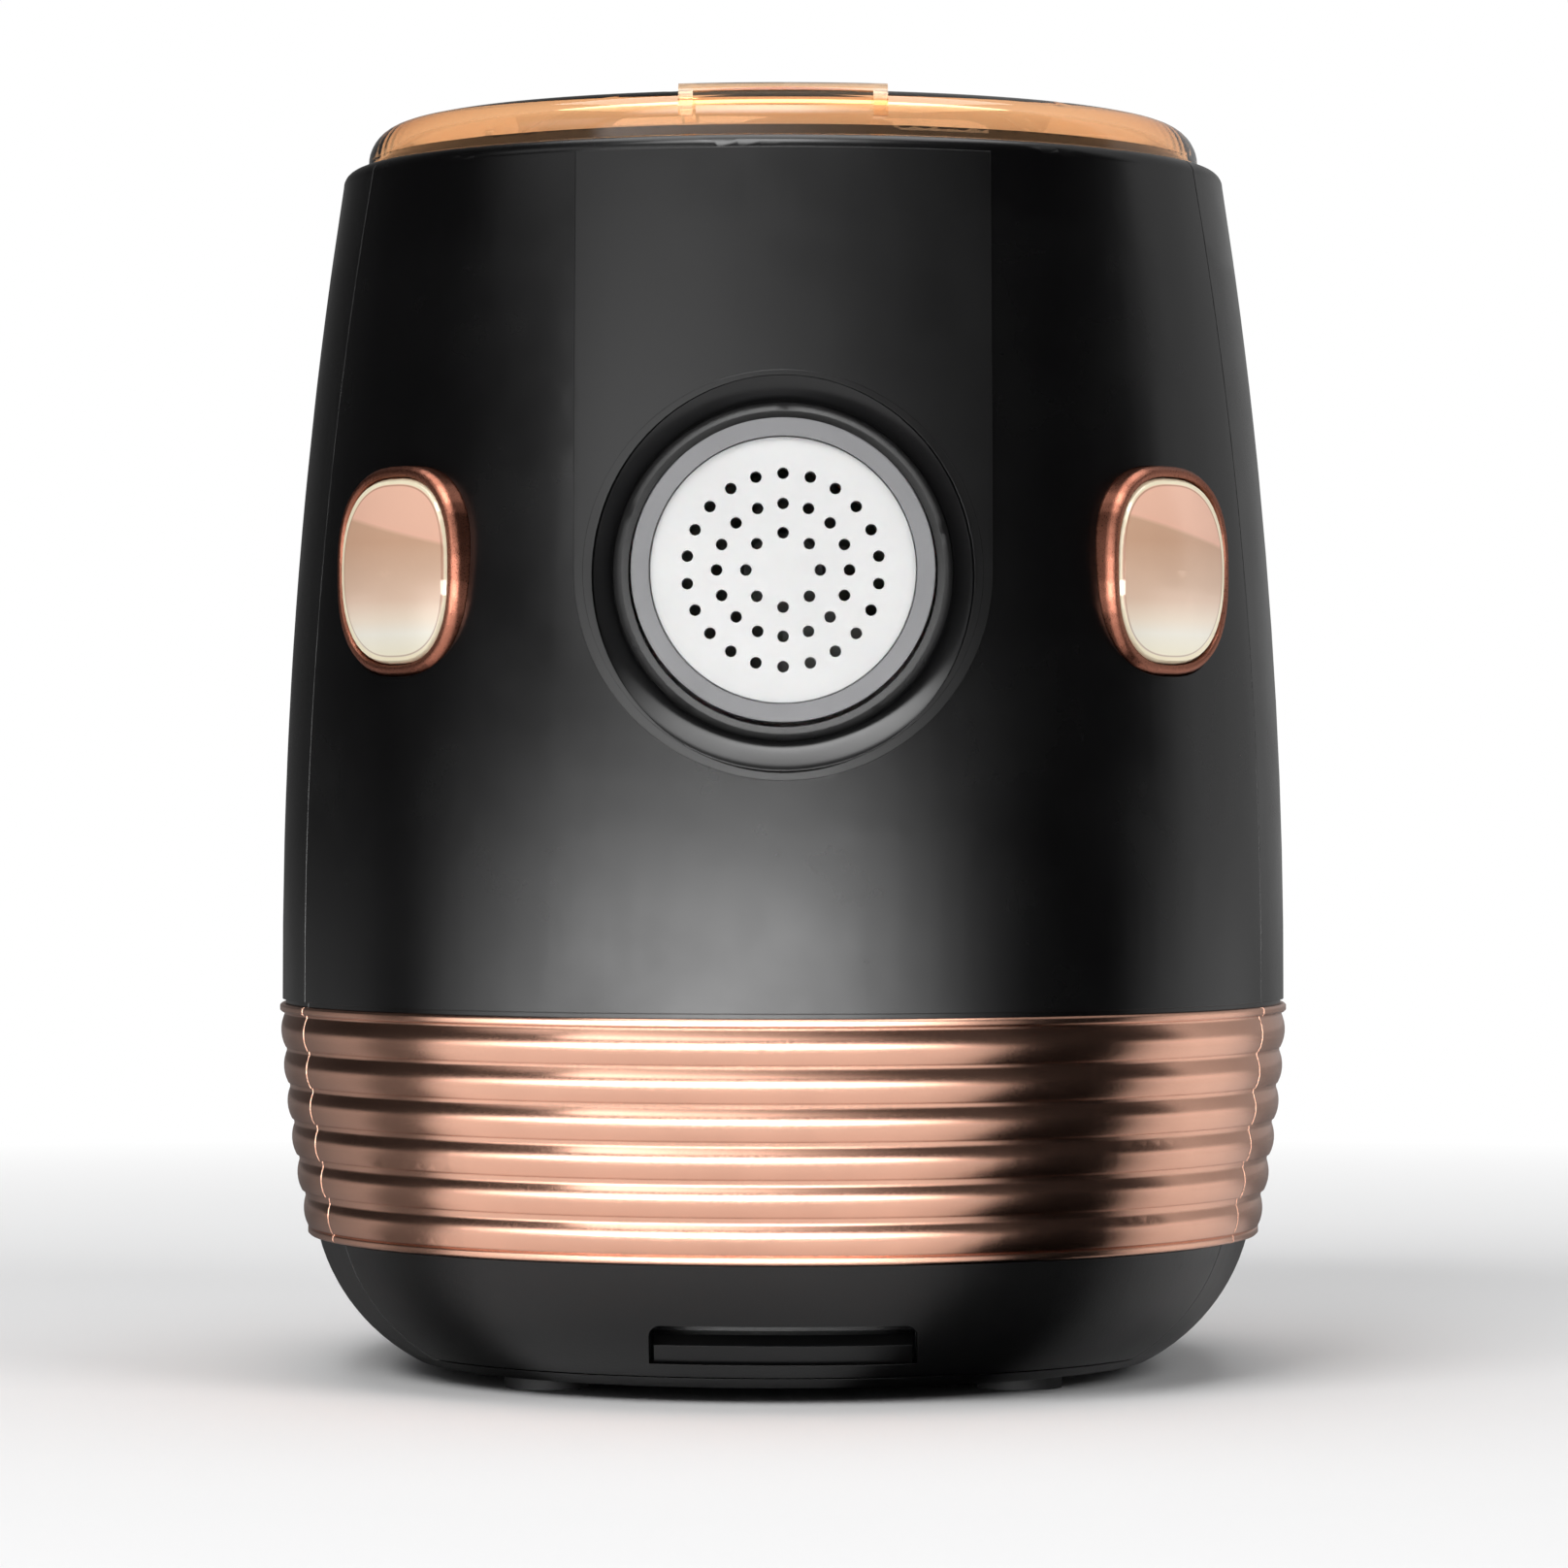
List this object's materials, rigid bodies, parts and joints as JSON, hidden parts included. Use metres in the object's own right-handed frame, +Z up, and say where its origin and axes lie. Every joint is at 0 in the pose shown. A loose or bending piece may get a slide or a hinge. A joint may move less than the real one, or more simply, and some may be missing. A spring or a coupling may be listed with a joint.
{
  "type": "electric pasta maker",
  "caption": "Upright oval pasta maker: round nozzle with die and ring, side release buttons, ribbed band, hinged see-through lid, mixing bowl, auger, gear drive and drawer.",
  "frame": {"origin": "centre of the ground under the machine: the middle of its box at the feet", "axes": "+Z up, the nozzle faces -Y, +X to the right of someone looking at the nozzle"},
  "size_m": [0.219, 0.2474, 0.2715],
  "materials": {
    "housing": "satin black moulded plastic with a fine grain",
    "trim": "rose-gold vacuum-metallised plastic",
    "lid_amber": "amber see-through plastic",
    "ring_metal": "satin grey metal",
    "die_white": "pale moulded plastic",
    "nylon": "natural nylon",
    "bowl_plastic": "pale moulded plastic",
    "steel": "turned steel",
    "zinc": "die-cast zinc",
    "frame_grey": "grey glass-filled plastic",
    "drawer_grey": "grey moulded plastic",
    "rubber": "soft rubber",
    "motor_steel": "zinc-plated steel",
    "board": "green circuit board",
    "keys": "matte black plastic"
  },
  "bodies": {
    "root": {"rear_shell": "housing", "rear_band": "trim", "base_shell": "housing", "base_plate": "housing", "feet": "rubber", "base_screws": "steel", "cord_gland": "rubber", "chassis_tray": "frame_grey", "mixing_bowl": "bowl_plastic", "cover_catches": "steel", "shaft_seal": "rubber", "output_bearings": "steel", "gearbox_front_plate": "zinc", "gearbox_rear_plate": "zinc", "gearbox_spacers": "steel", "idler_axles": "steel", "motor_can": "motor_steel", "motor_end_bell": "frame_grey", "motor_cradle": "frame_grey", "circuit_board": "board", "top_deck": "housing", "hinge_pin": "steel", "control_board": "board", "lid_switch": "rubber"},
    "front_cover": {"front_shell": "housing", "front_band": "trim", "left_button_bezel": "trim", "right_button_bezel": "trim", "left_button_spring": "steel", "right_button_spring": "steel"},
    "left_button": {"left_release_button": "trim"},
    "right_button": {"right_release_button": "trim"},
    "die": {"die_disc": "die_white", "die_seal": "rubber"},
    "ring": {"retaining_ring": "ring_metal"},
    "mixer": {"auger": "nylon", "mixing_paddles": "nylon", "output_shaft": "steel", "output_gear": "zinc"},
    "idler_a": {"idler_gear_a": "nylon"},
    "idler_b": {"idler_gear_b": "nylon"},
    "rotor": {"drive_pinion": "steel", "motor_shaft": "steel", "cooling_fan": "nylon"},
    "lid": {"lid": "lid_amber", "lid_seal": "rubber", "lid_hinge_leaf": "housing", "lid_grip": "housing"},
    "power_button": {"power_key": "keys"},
    "program_button": {"program_key": "keys"},
    "start_button": {"start_key": "keys"},
    "drawer": {"drawer_front": "housing", "drawer_tray": "drawer_grey", "drawer_pull": "housing"}
  },
  "joints": [
    {"name": "front_cover_slide", "type": "slide", "parent": "root", "child": "front_cover", "axis": [0, -1, 0], "range_m": [0, 0.06]},
    {"name": "left_button_press", "type": "slide", "parent": "front_cover", "child": "left_button", "axis": [0.749, 0.6626, 0], "range_m": [0, 0.003], "stiffness_N_per_m": 500, "deforming": ["left_button_spring"]},
    {"name": "right_button_press", "type": "slide", "parent": "front_cover", "child": "right_button", "axis": [-0.749, 0.6626, 0], "range_m": [0, 0.003], "stiffness_N_per_m": 500, "deforming": ["right_button_spring"]},
    {"name": "die_pull", "type": "slide", "parent": "root", "child": "die", "axis": [0, -1, 0], "range_m": [0, 0.04]},
    {"name": "ring_turn", "type": "hinge", "parent": "die", "child": "ring", "pos_m": [0, -0.1, 0.1705], "axis": [0, 1, 0], "range_deg": [0, 90]},
    {"name": "mixer_spin", "type": "hinge", "parent": "root", "child": "mixer", "pos_m": [0, 0, 0.1705], "axis": [0, 1, 0], "continuous": true},
    {"name": "idler_a_spin", "type": "hinge", "parent": "root", "child": "idler_a", "pos_m": [0.01585, 0.07, 0.10599], "axis": [0, 1, 0], "continuous": true},
    {"name": "idler_b_spin", "type": "hinge", "parent": "root", "child": "idler_b", "pos_m": [-0.01268, 0.07, 0.12732], "axis": [0, 1, 0], "continuous": true},
    {"name": "rotor_spin", "type": "hinge", "parent": "root", "child": "rotor", "pos_m": [0, 0.02, 0.072], "axis": [0, 1, 0], "continuous": true},
    {"name": "lid_hinge", "type": "hinge", "parent": "root", "child": "lid", "pos_m": [0, 0.0565, 0.264], "axis": [-1, 0, 0], "range_deg": [0, 95]},
    {"name": "power_press", "type": "slide", "parent": "root", "child": "power_button", "axis": [0, 0, -1], "range_m": [0, 0.0008], "stiffness_N_per_m": 300},
    {"name": "program_press", "type": "slide", "parent": "root", "child": "program_button", "axis": [0, 0, -1], "range_m": [0, 0.0008], "stiffness_N_per_m": 300},
    {"name": "start_press", "type": "slide", "parent": "root", "child": "start_button", "axis": [0, 0, -1], "range_m": [0, 0.0008], "stiffness_N_per_m": 300},
    {"name": "drawer_slide", "type": "slide", "parent": "root", "child": "drawer", "axis": [0, -1, 0], "range_m": [0, 0.065]}
  ],
  "couplings": [
    {"joint": "idler_b_spin", "follows": "mixer_spin", "ratio": -4},
    {"joint": "idler_a_spin", "follows": "mixer_spin", "ratio": 15},
    {"joint": "rotor_spin", "follows": "mixer_spin", "ratio": -60}
  ]
}
